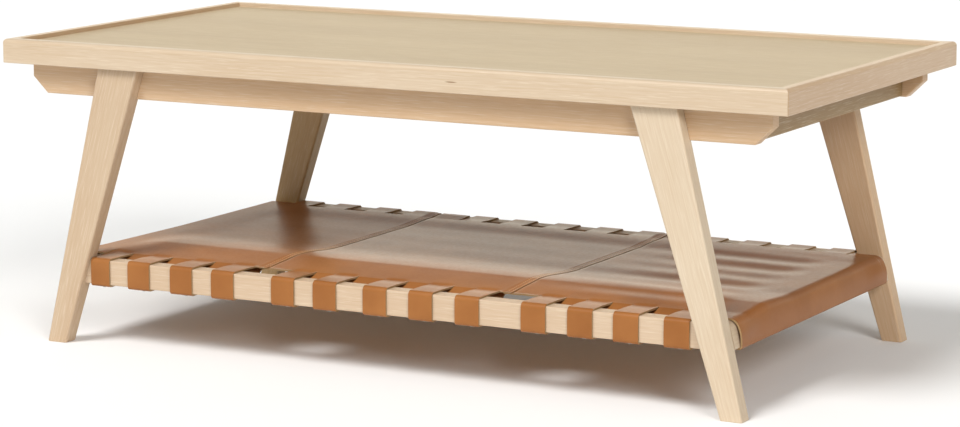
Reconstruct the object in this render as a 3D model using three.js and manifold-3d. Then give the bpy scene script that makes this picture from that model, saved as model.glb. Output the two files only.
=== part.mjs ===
// A low rectangular table of pale limed oak with a leather shelf, in millimetres, +Z up.
// The origin is on the floor below the middle of the top: X runs along it and Y from front (-) to back (+).
// A tray top lies on two long aprons and two end rails. Four flat tapered legs splay towards the ends.
// Below, four rails between the legs carry a stretched shelf of three leather panels sewn side by side.
import * as THREE from "three";
import { mergeVertices } from "three/addons/utils/BufferGeometryUtils.js";
import Module from "manifold-3d";

const wasm = await Module();
wasm.setup();

// Tray top: a flat panel inside a mitred edge frame that stands above it
const top_length = 1200;
const top_width = 610;
const table_height = 432;
const edge_height = 34;
const edge_width = 17;
const tray_depth = 6;
const edge_outer_radius = 6;
const edge_inner_radius = 1.5;
const tongue_reach = 6;
const tongue_height = 7;

// Legs: insets are measured from the ends and sides of the top
const leg_foot_inset = 60;
const leg_top_inset = 156;
const leg_side_inset = 9.2;
const leg_foot_width = 31;
const leg_top_width = 66;
const leg_thickness = 25;
const leg_edge_radius = 3;

// Aprons, the end rails between them and the small rounding of their edges
const apron_side_inset = 28;
const apron_end_inset = 32;
const apron_thickness = 21;
const apron_height = 43;
const apron_chamfer_run = 24;
const apron_chamfer_rise = 23;
const end_rail_inset = 62;
const end_rail_thickness = 21;
const end_rail_height = 42;
const wood_edge_radius = 1.5;

// Shelf rails: the long ones stand back from the legs' faces, the end ones follow the legs' outer edges
const shelf_underside = 88.5;
const shelf_rail_height = 35;
const shelf_rail_setback = 9;
const shelf_rail_depth = 25;
const shelf_end_depth = 26;

// Tenons: how far each one reaches, how thick it is, and the shoulder above and below it
const rail_tenon_reach = 16;
const shelf_end_tenon_reach = 12;
const upper_end_tenon_reach = 10;
const tenon_thickness = 9;
const tenon_shoulder = 6;

// Leather shelf: tabs cut from the panels' edges go round the long rails, flaps hang between them.
// Rises and drops are measured from the level of the leather on the rails.
const leather_thickness = 2.4;
const seam_share = 0.41;
const seam_to_tab = 32;
const leg_to_tab = 3;
const tab_width = 36;
const side_tab_count = 4;
const centre_tab_count = 5;
const tab_return = 20;
const slit_inset = 59;
const slit_gap = 1.2;
const slit_drop = 1.4;
const flap_gap = 6;
const flap_drop = 9.5;
const crest_inset = 130;
const crest_rise = 3.4;
const middle_drop = 1.1;
const end_flat_reach = 55;
const end_wrap_radius = 3;

// Bolts that hold the legs against the aprons
const bolt_radius = 3;
const bolt_head_radius = 6.5;
const bolt_head_height = 3.2;
const bolt_reach_into_leg = 17;
const bolt_socket_radius = 2.3;
const bolt_socket_depth = 2;
const bolt_pitch = 17;

// Steel angles and screws that hold the top down
const bracket_leg = 19;
const bracket_width = 20;
const bracket_thickness = 2;
const bracket_offset = 210;
const screw_radius = 1.9;
const screw_head_radius = 3.8;
const screw_head_height = 2.2;
const screw_reach = 13;

// Clearances, the overrun of a cut past the face that it opens, and the smoothness of round surfaces
const joint_clearance = 0.3;
const leather_clearance = 0.3;
const cut_overrun = 5;
const quarter_steps = 3;
const turned_sides = 12;
const socket_sides = 6;
const end_steps = 5;
const across_steps = 36;

// Levels and faces worked out from the sizes above
const underside = table_height - edge_height;
const panel_top = table_height - tray_depth;
const leg_outer_y = top_width / 2 - leg_side_inset;
const leg_inner_y = leg_outer_y - leg_thickness;
const apron_outer_y = top_width / 2 - apron_side_inset;
const apron_inner_y = apron_outer_y - apron_thickness;
const apron_bottom = underside - apron_height;
const end_rail_outer_x = top_length / 2 - end_rail_inset;
const end_rail_inner_x = end_rail_outer_x - end_rail_thickness;
const shelf_top = shelf_underside + shelf_rail_height;
const shelf_middle = (shelf_underside + shelf_top) / 2;
const shelf_rail_y = leg_outer_y - shelf_rail_setback;
const leather_skin = leather_clearance + leather_thickness;

const limed_oak = new THREE.MeshStandardMaterial({ color: "#e2cba8", roughness: 0.55, metalness: 0 });
const panel_oak = new THREE.MeshStandardMaterial({ color: "#d5c09a", roughness: 0.5, metalness: 0 });
const saddle_leather = new THREE.MeshStandardMaterial({ color: "#a96b39", roughness: 0.45, metalness: 0 });
const zinc_steel = new THREE.MeshStandardMaterial({ color: "#a5a7a8", roughness: 0.4, metalness: 0.9 });

const signs = [-1, 1];
const side_names = { "-1": "front", "1": "back" };
const end_names = { "-1": "left", "1": "right" };
const table = new THREE.Group();

function addPiece(name, geometry, material) {
  const mesh = new THREE.Mesh(geometry, material);
  mesh.name = name;
  table.add(mesh);
  return mesh;
}

// Only positions, shared between neighbouring faces
function merged(geometry) {
  const copy = geometry.clone();
  copy.deleteAttribute("normal");
  copy.deleteAttribute("uv");
  return mergeVertices(copy);
}

function toSolid(geometry) {
  const shape = merged(geometry);
  const triangles = [];
  const index = shape.index.array;
  for (let i = 0; i < index.length; i += 3) {
    const [a, b, c] = index.slice(i, i + 3);
    if (a !== b && b !== c && c !== a) {
      triangles.push(a, b, c);
    }
  }
  const mesh = new wasm.Mesh({
    numProp: 3,
    vertProperties: Float32Array.from(shape.attributes.position.array),
    triVerts: Uint32Array.from(triangles),
  });
  return new wasm.Manifold(mesh);
}

function toGeometry(solid) {
  const mesh = solid.getMesh();
  const geometry = new THREE.BufferGeometry();
  geometry.setAttribute("position", new THREE.BufferAttribute(Float32Array.from(mesh.vertProperties), 3));
  geometry.setIndex(Array.from(mesh.triVerts));
  geometry.computeVertexNormals();
  return geometry;
}

// A blank kept inside some shapes, with pieces joined to it and then cut by others
function carve(blank, { within = [], joined = [], cuts = [] }) {
  let solid = toSolid(blank);
  for (const shape of within) {
    solid = solid.intersect(toSolid(shape));
  }
  for (const shape of joined) {
    solid = solid.add(toSolid(shape));
  }
  for (const shape of cuts) {
    solid = solid.subtract(toSolid(shape));
  }
  return toGeometry(solid);
}

// Mirror image in X, in Y or in both, with its faces still pointing out
function mirrored(geometry, sign_x, sign_y) {
  const copy = merged(geometry).scale(sign_x, sign_y, 1);
  if (sign_x * sign_y < 0) {
    copy.setIndex(Array.from(copy.index.array).reverse());
  }
  copy.computeVertexNormals();
  return copy;
}

function vec(x, y) {
  return new THREE.Vector2(x, y);
}

function rectangle(low_u, low_v, high_u, high_v) {
  return [vec(low_u, low_v), vec(high_u, low_v), vec(high_u, high_v), vec(low_u, high_v)];
}

// Unit normal on the right of a run, which is the outside of an anticlockwise outline
function outward(from, to) {
  const run = to.clone().sub(from).normalize();
  return vec(run.y, -run.x);
}

// Points round a corner: the surface has the given radius there, and the points stand off it by a distance.
// The centre of the arc lies inside both runs, at the radius from each of them.
function cornerPoints(before, corner, after, radius, distance) {
  const first = outward(before, corner);
  const second = outward(corner, after);
  const bisector = first.clone().add(second).divideScalar(1 + first.dot(second));
  if (radius === 0) {
    return [corner.clone().addScaledVector(bisector, distance)];
  }
  const centre = corner.clone().addScaledVector(bisector, -radius);
  const start = Math.atan2(first.y, first.x);
  const turn = Math.atan2(first.cross(second), first.dot(second));
  return Array.from({ length: quarter_steps + 1 }, (_, i) => {
    const angle = start + (turn * i) / quarter_steps;
    return vec(Math.cos(angle), Math.sin(angle)).multiplyScalar(radius + distance).add(centre);
  });
}

// A closed outline whose corners are rounded by the radii given in the same order
function roundedOutline(corners, radii) {
  const count = corners.length;
  return corners.flatMap((corner, i) => {
    const before = corners[(i + count - 1) % count];
    const after = corners[(i + 1) % count];
    return cornerPoints(before, corner, after, radii[i], 0);
  });
}

// Section of the leather along an open run of corners, held off it by the clearance
function skinOutline(run, radii) {
  const face = (distance) =>
    run.flatMap((corner, i) => {
      if (i > 0 && i < run.length - 1) {
        return cornerPoints(run[i - 1], corner, run[i + 1], radii[i - 1], distance);
      }
      const normal = i > 0 ? outward(run[i - 1], corner) : outward(corner, run[i + 1]);
      return [corner.clone().addScaledVector(normal, distance)];
    });
  return [...face(leather_skin), ...face(leather_clearance).reverse()];
}

// Planes that an outline is drawn in; it is extruded both ways along the third axis
const in_xy = new THREE.Matrix4();
const in_xz = new THREE.Matrix4().makeRotationX(Math.PI / 2);
const in_yz = new THREE.Matrix4().set(0, 0, 1, 0, 1, 0, 0, 0, 0, 1, 0, 0, 0, 0, 0, 1);

function prism(points, span, plane, edge_radius = 0) {
  const geometry = new THREE.ExtrudeGeometry(new THREE.Shape(points), {
    depth: span - 2 * edge_radius,
    bevelEnabled: edge_radius > 0,
    bevelThickness: edge_radius,
    bevelSize: edge_radius,
    bevelOffset: -edge_radius,
    bevelSegments: quarter_steps,
  });
  return geometry.translate(0, 0, edge_radius - span / 2).applyMatrix4(plane);
}

// A box about a centre, with its spans along X, Y and Z, grown on every side
function boxAbout(centre, spans, grow = 0) {
  const [x, y, z] = spans.map((span) => span + 2 * grow);
  return new THREE.BoxGeometry(x, y, z).translate(...centre);
}

function boxBetween(low, high) {
  const centre = low.map((value, i) => (value + high[i]) / 2);
  const spans = low.map((value, i) => high[i] - value);
  return boxAbout(centre, spans);
}

// A round hole along Y: it is open at y = 0 and runs to the given depth
function holeAlongY(radius, depth) {
  const hole = new THREE.CylinderGeometry(radius, radius, depth + cut_overrun, turned_sides);
  return hole.translate(0, (depth - cut_overrun) / 2, 0);
}

// Edge frame of the tray. A rail is drawn along X with its outer face at y = 0, then turned into place.
const tongue_middle = (underside + panel_top) / 2;

function edgeRail(length) {
  const tongue_low = tongue_middle - tongue_height / 2;
  const tongue_high = tongue_middle + tongue_height / 2;
  const inner_face = edge_width;
  const tongue_end = edge_width + tongue_reach;
  const section = [
    vec(0, underside),
    vec(inner_face, underside),
    vec(inner_face, tongue_low),
    vec(tongue_end, tongue_low),
    vec(tongue_end, tongue_high),
    vec(inner_face, tongue_high),
    vec(inner_face, table_height),
    vec(0, table_height),
  ];
  const radii = [0, 0, 0, 0, 0, 0, edge_inner_radius, edge_outer_radius];
  const half = (length - joint_clearance) / 2;
  const depth = tongue_end + cut_overrun;
  const mitres = [vec(-half, 0), vec(half, 0), vec(half - depth, depth), vec(depth - half, depth)];
  const blank = prism(roundedOutline(section, radii), length, in_yz);
  return carve(blank, { within: [prism(mitres, 2 * table_height + cut_overrun, in_xy)] });
}

function addEdgeRail(name, length, x, y, turn) {
  const rail = addPiece(name, edgeRail(length), limed_oak);
  rail.position.set(x, y, 0);
  rail.rotation.z = turn;
}

for (const sign of signs) {
  const side_turn = sign > 0 ? Math.PI : 0;
  addEdgeRail(`top_edge_${side_names[sign]}`, top_length, 0, (sign * top_width) / 2, side_turn);
  addEdgeRail(`top_edge_${end_names[sign]}`, top_width, (sign * top_length) / 2, 0, (sign * Math.PI) / 2);
}

// Steel angles under the top: two along each apron and one in the middle of each end rail.
// Each is drawn at x = 0 with its back on y = 0, facing +Y, and then turned to its place.
const bracket_places = [
  { name: "front_left", x: -bracket_offset, y: -apron_inner_y, turn: 0 },
  { name: "front_right", x: bracket_offset, y: -apron_inner_y, turn: 0 },
  { name: "back_left", x: -bracket_offset, y: apron_inner_y, turn: Math.PI },
  { name: "back_right", x: bracket_offset, y: apron_inner_y, turn: Math.PI },
  { name: "end_left", x: -end_rail_inner_x, y: 0, turn: -Math.PI / 2 },
  { name: "end_right", x: end_rail_inner_x, y: 0, turn: Math.PI / 2 },
];
const screw_hole_radius = screw_radius + joint_clearance;
const screw_hole_depth = screw_reach + joint_clearance;
const hole_to_corner = (bracket_thickness + bracket_leg) / 2;

// Screw holes, cut by one tool through the steel and into the wood: upwards, and backwards into the rail
function upHole() {
  const hole = holeAlongY(screw_hole_radius, screw_hole_depth);
  return hole.rotateX(Math.PI / 2).translate(0, hole_to_corner, underside);
}

function backHole() {
  const hole = holeAlongY(screw_hole_radius, screw_hole_depth);
  return hole.rotateX(Math.PI).translate(0, 0, underside - hole_to_corner);
}

function atPlace(geometry, place) {
  return geometry.rotateZ(place.turn).translate(place.x, place.y, 0);
}

function bracketGeometry() {
  const low = underside - bracket_leg;
  const flange_low = underside - bracket_thickness;
  const outline = [
    vec(0, low),
    vec(bracket_thickness, low),
    vec(bracket_thickness, flange_low),
    vec(bracket_leg, flange_low),
    vec(bracket_leg, underside),
    vec(0, underside),
  ];
  return carve(prism(outline, bracket_width, in_yz), { cuts: [upHole(), backHole()] });
}

// A screw along Y: the head's underside is at y = 0 and the shank runs towards +Y
function screwGeometry() {
  const profile = [
    vec(0, -screw_head_height),
    vec(screw_head_radius / 2, -screw_head_height),
    vec(screw_head_radius, -screw_head_height / 2),
    vec(screw_head_radius, 0),
    vec(screw_radius, 0),
    vec(screw_radius, screw_reach - bracket_thickness - screw_radius),
    vec(0, screw_reach - bracket_thickness),
  ];
  return new THREE.LatheGeometry(profile, turned_sides);
}

for (const place of bracket_places) {
  addPiece(`top_bracket_${place.name}`, atPlace(bracketGeometry(), place), zinc_steel);
  const up_screw = screwGeometry().rotateX(Math.PI / 2);
  up_screw.translate(0, hole_to_corner, underside - bracket_thickness);
  addPiece(`top_screw_${place.name}`, atPlace(up_screw, place), zinc_steel);
  const back_screw = screwGeometry().rotateX(Math.PI);
  back_screw.translate(0, bracket_thickness, underside - hole_to_corner);
  addPiece(`rail_screw_${place.name}`, atPlace(back_screw, place), zinc_steel);
}

// Top panel, grooved all round for the tongues of the edge frame
function topPanel() {
  const half_x = top_length / 2 - edge_width;
  const half_y = top_width / 2 - edge_width;
  const blank = boxBetween([-half_x, -half_y, underside], [half_x, half_y, panel_top]);
  const groove_depth = tongue_reach + joint_clearance;
  const groove_height = tongue_height + 2 * joint_clearance;
  const grooves = signs.flatMap((sign) => [
    boxAbout([0, sign * half_y, tongue_middle], [2 * half_x + cut_overrun, 2 * groove_depth, groove_height]),
    boxAbout([sign * half_x, 0, tongue_middle], [2 * groove_depth, 2 * half_y + cut_overrun, groove_height]),
  ]);
  const screw_holes = bracket_places.map((place) => atPlace(upHole(), place));
  return carve(blank, { cuts: [...grooves, ...screw_holes] });
}

addPiece("top_panel", topPanel(), panel_oak);

// Edges of a right-hand leg are straight lines: X of the outer and of the inner one at height z
function legWidth(z) {
  return leg_foot_width + ((leg_top_width - leg_foot_width) * z) / underside;
}

function legOuterX(z) {
  return top_length / 2 - leg_foot_inset - ((leg_top_inset - leg_foot_inset) * z) / underside;
}

function legInnerX(z) {
  return legOuterX(z) - legWidth(z);
}

// Outline of a right-hand leg, run on past floor and top, with both edges moved out
function legOutline(move_out) {
  const low = -cut_overrun;
  const high = underside + cut_overrun;
  return [
    vec(legInnerX(low) - move_out, low),
    vec(legOuterX(low) + move_out, low),
    vec(legOuterX(high) + move_out, high),
    vec(legInnerX(high) - move_out, high),
  ];
}

// Tenons at the back right corner of the frame. Each is a box that starts inside its own rail.
const rail_tenon_y = (shelf_rail_y + leg_inner_y) / 2;
const shelf_tenon_height = shelf_rail_height - 2 * tenon_shoulder;
const shelf_end_middle_x = legOuterX(shelf_middle) - shelf_end_depth / 2;

function shelfRailTenon(grow = 0) {
  const centre = [legInnerX(shelf_middle) + (rail_tenon_reach - cut_overrun) / 2, rail_tenon_y, shelf_middle];
  return boxAbout(centre, [rail_tenon_reach + cut_overrun, tenon_thickness, shelf_tenon_height], grow);
}

function shelfEndTenon(grow = 0) {
  const centre = [shelf_end_middle_x, leg_inner_y + (shelf_end_tenon_reach - cut_overrun) / 2, shelf_middle];
  return boxAbout(centre, [tenon_thickness, shelf_end_tenon_reach + cut_overrun, shelf_tenon_height], grow);
}

function upperEndTenon(grow = 0) {
  const middle_x = (end_rail_outer_x + end_rail_inner_x) / 2;
  const middle_y = apron_inner_y + (upper_end_tenon_reach - cut_overrun) / 2;
  const centre = [middle_x, middle_y, underside - end_rail_height / 2];
  const height = end_rail_height - 2 * tenon_shoulder;
  return boxAbout(centre, [tenon_thickness, upper_end_tenon_reach + cut_overrun, height], grow);
}

// Two bolts in each leg, one above the other, from the apron's inner face into the middle of the leg
const bolt_shank = leg_inner_y - apron_inner_y + bolt_reach_into_leg;
const bolt_middle_z = (underside + apron_bottom) / 2;
const bolt_rows = [
  { name: "lower", z: bolt_middle_z - bolt_pitch / 2 },
  { name: "upper", z: bolt_middle_z + bolt_pitch / 2 },
];

function boltX(z) {
  return legOuterX(z) - legWidth(z) / 2;
}

function boltHoles() {
  return bolt_rows.map((row) => {
    const hole = holeAlongY(bolt_radius + joint_clearance, bolt_shank + joint_clearance);
    return hole.translate(boltX(row.z), apron_inner_y, row.z);
  });
}

// A bolt along Y with a low round head and a six-sided socket: the head's underside is at y = 0
function boltGeometry() {
  const profile = [
    vec(0, -bolt_head_height),
    vec(bolt_head_radius - bolt_head_height / 2, -bolt_head_height),
    vec(bolt_head_radius, -bolt_head_height / 2),
    vec(bolt_head_radius, 0),
    vec(bolt_radius, 0),
    vec(bolt_radius, bolt_shank - bolt_radius / 2),
    vec(0, bolt_shank),
  ];
  const depth = bolt_socket_depth + cut_overrun;
  const socket = new THREE.CylinderGeometry(bolt_socket_radius, bolt_socket_radius, depth, socket_sides);
  socket.translate(0, bolt_socket_depth - bolt_head_height - depth / 2, 0);
  return carve(new THREE.LatheGeometry(profile, turned_sides), { cuts: [socket] });
}

// The back right leg: tapered and splayed, cut flat on the floor and under the top
function legGeometry() {
  const blank = prism(legOutline(0), leg_thickness, in_xz, leg_edge_radius);
  blank.translate(0, leg_inner_y + leg_thickness / 2, 0);
  const floor_to_top = boxBetween([0, 0, 0], [top_length, top_width, underside]);
  const cuts = [shelfRailTenon(joint_clearance), shelfEndTenon(joint_clearance), ...boltHoles()];
  return carve(blank, { within: [floor_to_top], cuts });
}

// The back apron: chamfered ends, a shallow slanted housing for each leg, mortises for the end rails
function apronGeometry() {
  const end_x = top_length / 2 - apron_end_inset;
  const chamfer_x = end_x - apron_chamfer_run;
  const chamfer_z = apron_bottom + apron_chamfer_rise;
  const outline = [
    vec(-chamfer_x, apron_bottom),
    vec(chamfer_x, apron_bottom),
    vec(end_x, chamfer_z),
    vec(end_x, underside),
    vec(-end_x, underside),
    vec(-end_x, chamfer_z),
  ];
  const blank = prism(outline, apron_thickness, in_xz, wood_edge_radius);
  blank.translate(0, apron_inner_y + apron_thickness / 2, 0);
  const housing = prism(legOutline(joint_clearance), leg_thickness, in_xz);
  housing.translate(0, leg_inner_y - joint_clearance + leg_thickness / 2, 0);
  const right_cuts = [housing, upperEndTenon(joint_clearance), ...boltHoles()];
  const end_cuts = signs.flatMap((sign) => right_cuts.map((cut) => mirrored(cut, sign, 1)));
  const back_places = bracket_places.filter((place) => place.name.startsWith("back"));
  return carve(blank, { cuts: [...end_cuts, ...back_places.map((place) => atPlace(backHole(), place))] });
}

const leg = legGeometry();
const apron = apronGeometry();
for (const side of signs) {
  addPiece(`apron_${side_names[side]}`, mirrored(apron, 1, side), limed_oak);
  for (const end of signs) {
    const corner = `${side_names[side]}_${end_names[end]}`;
    addPiece(`leg_${corner}`, mirrored(leg, end, side), limed_oak);
    for (const row of bolt_rows) {
      const bolt = mirrored(boltGeometry(), 1, side);
      bolt.translate(end * boltX(row.z), side * apron_inner_y, row.z);
      addPiece(`leg_bolt_${corner}_${row.name}`, bolt, zinc_steel);
    }
  }
}

// The right end rail under the top, tenoned into both aprons
function upperEndRail() {
  const section = rectangle(end_rail_inner_x, underside - end_rail_height, end_rail_outer_x, underside);
  const radii = [wood_edge_radius, wood_edge_radius, 0, 0];
  const blank = prism(roundedOutline(section, radii), 2 * (apron_inner_y - joint_clearance), in_xz);
  const place = bracket_places.find((candidate) => candidate.name === "end_right");
  const tenons = signs.map((sign) => mirrored(upperEndTenon(), 1, sign));
  return carve(blank, { joined: tenons, cuts: [atPlace(backHole(), place)] });
}

// The back shelf rail: its ends lean with the inner edges of the legs and carry stub tenons
function shelfRail() {
  const section = rectangle(shelf_rail_y - shelf_rail_depth, shelf_underside, shelf_rail_y, shelf_top);
  const radii = section.map(() => wood_edge_radius);
  const blank = prism(roundedOutline(section, radii), top_length, in_yz);
  const low = shelf_underside - cut_overrun;
  const high = shelf_top + cut_overrun;
  const low_x = legInnerX(low) - joint_clearance;
  const high_x = legInnerX(high) - joint_clearance;
  const between_legs = [vec(-low_x, low), vec(low_x, low), vec(high_x, high), vec(-high_x, high)];
  const tenons = signs.map((sign) => mirrored(shelfRailTenon(), sign, 1));
  return carve(blank, { within: [prism(between_legs, 2 * top_width, in_xz)], joined: tenons });
}

// The right shelf end rail, whose faces lean with the legs
function shelfEndRail() {
  const low_x = legOuterX(shelf_underside);
  const high_x = legOuterX(shelf_top);
  const section = [
    vec(low_x - shelf_end_depth, shelf_underside),
    vec(low_x, shelf_underside),
    vec(high_x, shelf_top),
    vec(high_x - shelf_end_depth, shelf_top),
  ];
  const radii = [wood_edge_radius, wood_edge_radius, end_wrap_radius, wood_edge_radius];
  const blank = prism(roundedOutline(section, radii), 2 * (leg_inner_y - joint_clearance), in_xz);
  return carve(blank, { joined: signs.map((sign) => mirrored(shelfEndTenon(), 1, sign)) });
}

const upper_end_rail = upperEndRail();
const shelf_rail = shelfRail();
const shelf_end_rail = shelfEndRail();
for (const sign of signs) {
  addPiece(`upper_end_rail_${end_names[sign]}`, mirrored(upper_end_rail, sign, 1), limed_oak);
  addPiece(`shelf_rail_${side_names[sign]}`, mirrored(shelf_rail, 1, sign), limed_oak);
  addPiece(`shelf_end_rail_${end_names[sign]}`, mirrored(shelf_end_rail, sign, 1), limed_oak);
}

// Places on the leather shelf. The inner edges of the legs bound the rows of tabs.
const leather_level = shelf_top + leather_clearance;
const rail_half = legInnerX(leather_level + leather_thickness);
const seam_x = seam_share * rail_half;
const last_tab_x = rail_half - leg_to_tab;
const end_flat_x = legOuterX(shelf_top) - shelf_end_depth - flap_gap;
const slit_y = shelf_rail_y - slit_inset;
const crest_y = shelf_rail_y - crest_inset;
const sheet_half_y = shelf_rail_y - shelf_rail_depth - flap_gap;

// Middles of evenly spread tabs whose outermost edges lie at two given places
function tabMiddles(count, first_edge, last_edge) {
  const pitch = (last_edge - first_edge - tab_width) / (count - 1);
  return Array.from({ length: count }, (_, i) => first_edge + tab_width / 2 + pitch * i);
}

const centre_tabs = tabMiddles(centre_tab_count, seam_to_tab - seam_x, seam_x - seam_to_tab);
const side_tabs = tabMiddles(side_tab_count, seam_x + seam_to_tab, last_tab_x);

// From 0 to 1 with level ends
function ease(share) {
  return (1 - Math.cos(Math.PI * THREE.MathUtils.clamp(share, 0, 1))) / 2;
}

// Height of the sheet above its level on the rails: a low trough along the middle, a crest on each side,
// then a fall to the ends of the slits, and on down over the flaps. It is flat where it meets an end rail.
function sheetRise(x, y) {
  const across = Math.abs(y);
  let rise = THREE.MathUtils.lerp(-middle_drop, crest_rise, ease(across / crest_y));
  if (across > crest_y) {
    rise = THREE.MathUtils.lerp(crest_rise, -slit_drop, ease((across - crest_y) / (slit_y - crest_y)));
  }
  if (across > slit_y) {
    const share = (across - slit_y) / (sheet_half_y - slit_y);
    rise = THREE.MathUtils.lerp(-slit_drop, -flap_drop, share);
  }
  return rise * ease((end_flat_x - Math.abs(x)) / end_flat_reach);
}

// A sheet of even thickness between two places along the table, bent to the rise
function sheet(from, to, steps_along) {
  const spans = [to - from, 2 * sheet_half_y, leather_thickness];
  const slab = new THREE.BoxGeometry(...spans, steps_along, across_steps, 1);
  slab.translate((from + to) / 2, 0, leather_level + leather_thickness / 2);
  const position = slab.attributes.position;
  for (let i = 0; i < position.count; i += 1) {
    position.setZ(i, position.getZ(i) + sheetRise(position.getX(i), position.getY(i)));
  }
  return slab;
}

// A tab leaves the sheet at the slits, crosses the back rail, and turns down its face and under it
function tab(x) {
  const root_y = slit_y - cut_overrun;
  const run = [
    vec(shelf_rail_y - tab_return, shelf_underside),
    vec(shelf_rail_y, shelf_underside),
    vec(shelf_rail_y, shelf_top),
    vec(shelf_rail_y - shelf_rail_depth, shelf_top),
    vec(slit_y, shelf_top + sheetRise(0, slit_y)),
    vec(root_y, shelf_top + sheetRise(0, root_y)),
  ];
  const radii = [wood_edge_radius, wood_edge_radius, 0, 0];
  return prism(skinOutline(run, radii), tab_width, in_yz).translate(x, 0, 0);
}

// Room for the tabs beside and above the flaps of the sheet
function slitCuts(tab_middles) {
  const spans = [tab_width + 2 * slit_gap, sheet_half_y - slit_y + cut_overrun, 2 * shelf_rail_height];
  return tab_middles.flatMap((x) =>
    signs.map((sign) => boxAbout([x, sign * (slit_y + spans[1] / 2), shelf_top], spans)),
  );
}

function bothSides(tab_middles) {
  return tab_middles.flatMap((x) => signs.map((sign) => mirrored(tab(x), 1, sign)));
}

function centrePanel() {
  const half = seam_x - joint_clearance / 2;
  const slit_sheet = carve(sheet(-half, half, 1), { cuts: slitCuts(centre_tabs) });
  return carve(slit_sheet, { joined: bothSides(centre_tabs) });
}

// A side panel also turns over the end rail, down its leaning face and back underneath
function sidePanel() {
  const side_sheet = sheet(seam_x + joint_clearance / 2, end_flat_x, end_steps);
  const slit_sheet = carve(side_sheet, { cuts: slitCuts(side_tabs) });
  const low_x = legOuterX(shelf_underside);
  const run = [
    vec(end_flat_x - cut_overrun, shelf_top),
    vec(legOuterX(shelf_top), shelf_top),
    vec(low_x, shelf_underside),
    vec(low_x - tab_return, shelf_underside),
  ].reverse();
  const end_wrap = prism(skinOutline(run, [wood_edge_radius, end_wrap_radius]), 2 * sheet_half_y, in_xz);
  return carve(slit_sheet, { joined: [...bothSides(side_tabs), end_wrap] });
}

addPiece("leather_panel_centre", centrePanel(), saddle_leather);
const side_panel = sidePanel();
for (const sign of signs) {
  addPiece(`leather_panel_${end_names[sign]}`, mirrored(side_panel, sign, 1), saddle_leather);
}

export default table;
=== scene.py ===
# %% [markdown]
# # A low oak table with a leather shelf
# The construction of the table is finished: every board, bolt and panel of leather is a plain solid at its
# real size. Here those solids get their looks. Boards that only need a finish keep their shape. The edge
# frame, the legs, the end rails of the shelf and the leather are modelled again, with the soft edges, slits
# and bends of the real ones, always in the place of their solid. Everything is in metres, Z is up, and the
# origin lies on the floor below the middle of the top.

import math

import bpy
import numpy as np
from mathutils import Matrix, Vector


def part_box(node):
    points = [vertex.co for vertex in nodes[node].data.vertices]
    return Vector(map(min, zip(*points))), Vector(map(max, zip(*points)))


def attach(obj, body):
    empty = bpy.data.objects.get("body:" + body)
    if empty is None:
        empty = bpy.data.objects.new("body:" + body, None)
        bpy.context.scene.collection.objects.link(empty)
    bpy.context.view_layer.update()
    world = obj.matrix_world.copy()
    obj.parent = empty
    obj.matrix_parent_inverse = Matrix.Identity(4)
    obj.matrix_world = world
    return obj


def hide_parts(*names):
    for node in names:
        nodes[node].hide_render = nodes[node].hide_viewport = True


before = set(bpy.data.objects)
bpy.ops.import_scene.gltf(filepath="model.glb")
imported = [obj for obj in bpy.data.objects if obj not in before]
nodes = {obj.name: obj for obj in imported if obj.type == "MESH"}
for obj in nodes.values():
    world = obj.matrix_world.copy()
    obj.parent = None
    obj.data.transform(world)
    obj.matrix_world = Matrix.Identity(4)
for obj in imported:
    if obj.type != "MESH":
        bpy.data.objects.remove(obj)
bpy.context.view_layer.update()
scene = bpy.context.scene
mm = 0.001


def new_object(name, data):
    """An object for some data, linked to the scene."""
    made = bpy.data.objects.new(name, data)
    scene.collection.objects.link(made)
    return made


# %% [markdown]
# The camera stands to the right of the table and looks down a little, through a long lens. Its place comes
# from the photograph: one pinhole camera was fitted to straight edges of known direction.

# %% Camera
camera_place = (2.0870, -3.8679, 0.9216)
camera_azimuth = 28.315
camera_elevation = 9.527
camera_lens = 117.51
camera_sensor = 36.0

camera_data = bpy.data.cameras.new("camera")
camera_data.lens = camera_lens
camera_data.sensor_width = camera_sensor
camera_data.sensor_fit = "HORIZONTAL"
camera = new_object("camera", camera_data)
camera.location = camera_place
camera.rotation_euler = (math.radians(90 - camera_elevation), 0, math.radians(camera_azimuth))
scene.camera = camera
print("camera", camera_place, "lens", camera_lens)

# %% [markdown]
# A colour is written as the hex value that a colour picker shows, which is stored for the eye, so it is
# turned to the linear light that the renderer adds and multiplies. Every shader node is added by one
# function, which also sets its values and joins its sockets.

# %% Colours and shader nodes
def colour(hex_code):
    """sRGB hex to linear: a channel c becomes ((c + 0.055) / 1.055) ** 2.4, or c / 12.92 when it is dark."""
    c = np.array([int(hex_code[i:i + 2], 16) for i in (1, 3, 5)]) / 255
    linear = np.where(c > 0.04045, ((c + 0.055) / 1.055) ** 2.4, c / 12.92)
    return (*linear.tolist(), 1.0)


def add(tree, kind, inputs=None, output=0, **settings):
    """Adds one shader node and returns one of its outputs. An input is a plain value, or the output of
    another node that feeds it."""
    node = tree.nodes.new("ShaderNode" + kind)
    for name, value in settings.items():
        setattr(node, name, value)
    for socket, value in (inputs or {}).items():
        if isinstance(value, bpy.types.NodeSocket):
            tree.links.new(value, node.inputs[socket])
        else:
            node.inputs[socket].default_value = value
    return node.outputs[output] if node.outputs else None


def new_material(name):
    """A material, its empty node tree, and the place of a surface point in the piece's own coordinates, which
    every pattern here is drawn on."""
    material = bpy.data.materials.new(name)
    material.use_nodes = True
    tree = material.node_tree
    tree.nodes.clear()
    return material, tree, add(tree, "TexCoord", output="Object")


def finish_material(tree, shader_inputs):
    """Adds the shader that all finishes share and joins it to the output."""
    add(tree, "OutputMaterial", {"Surface": add(tree, "BsdfPrincipled", shader_inputs)})


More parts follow.
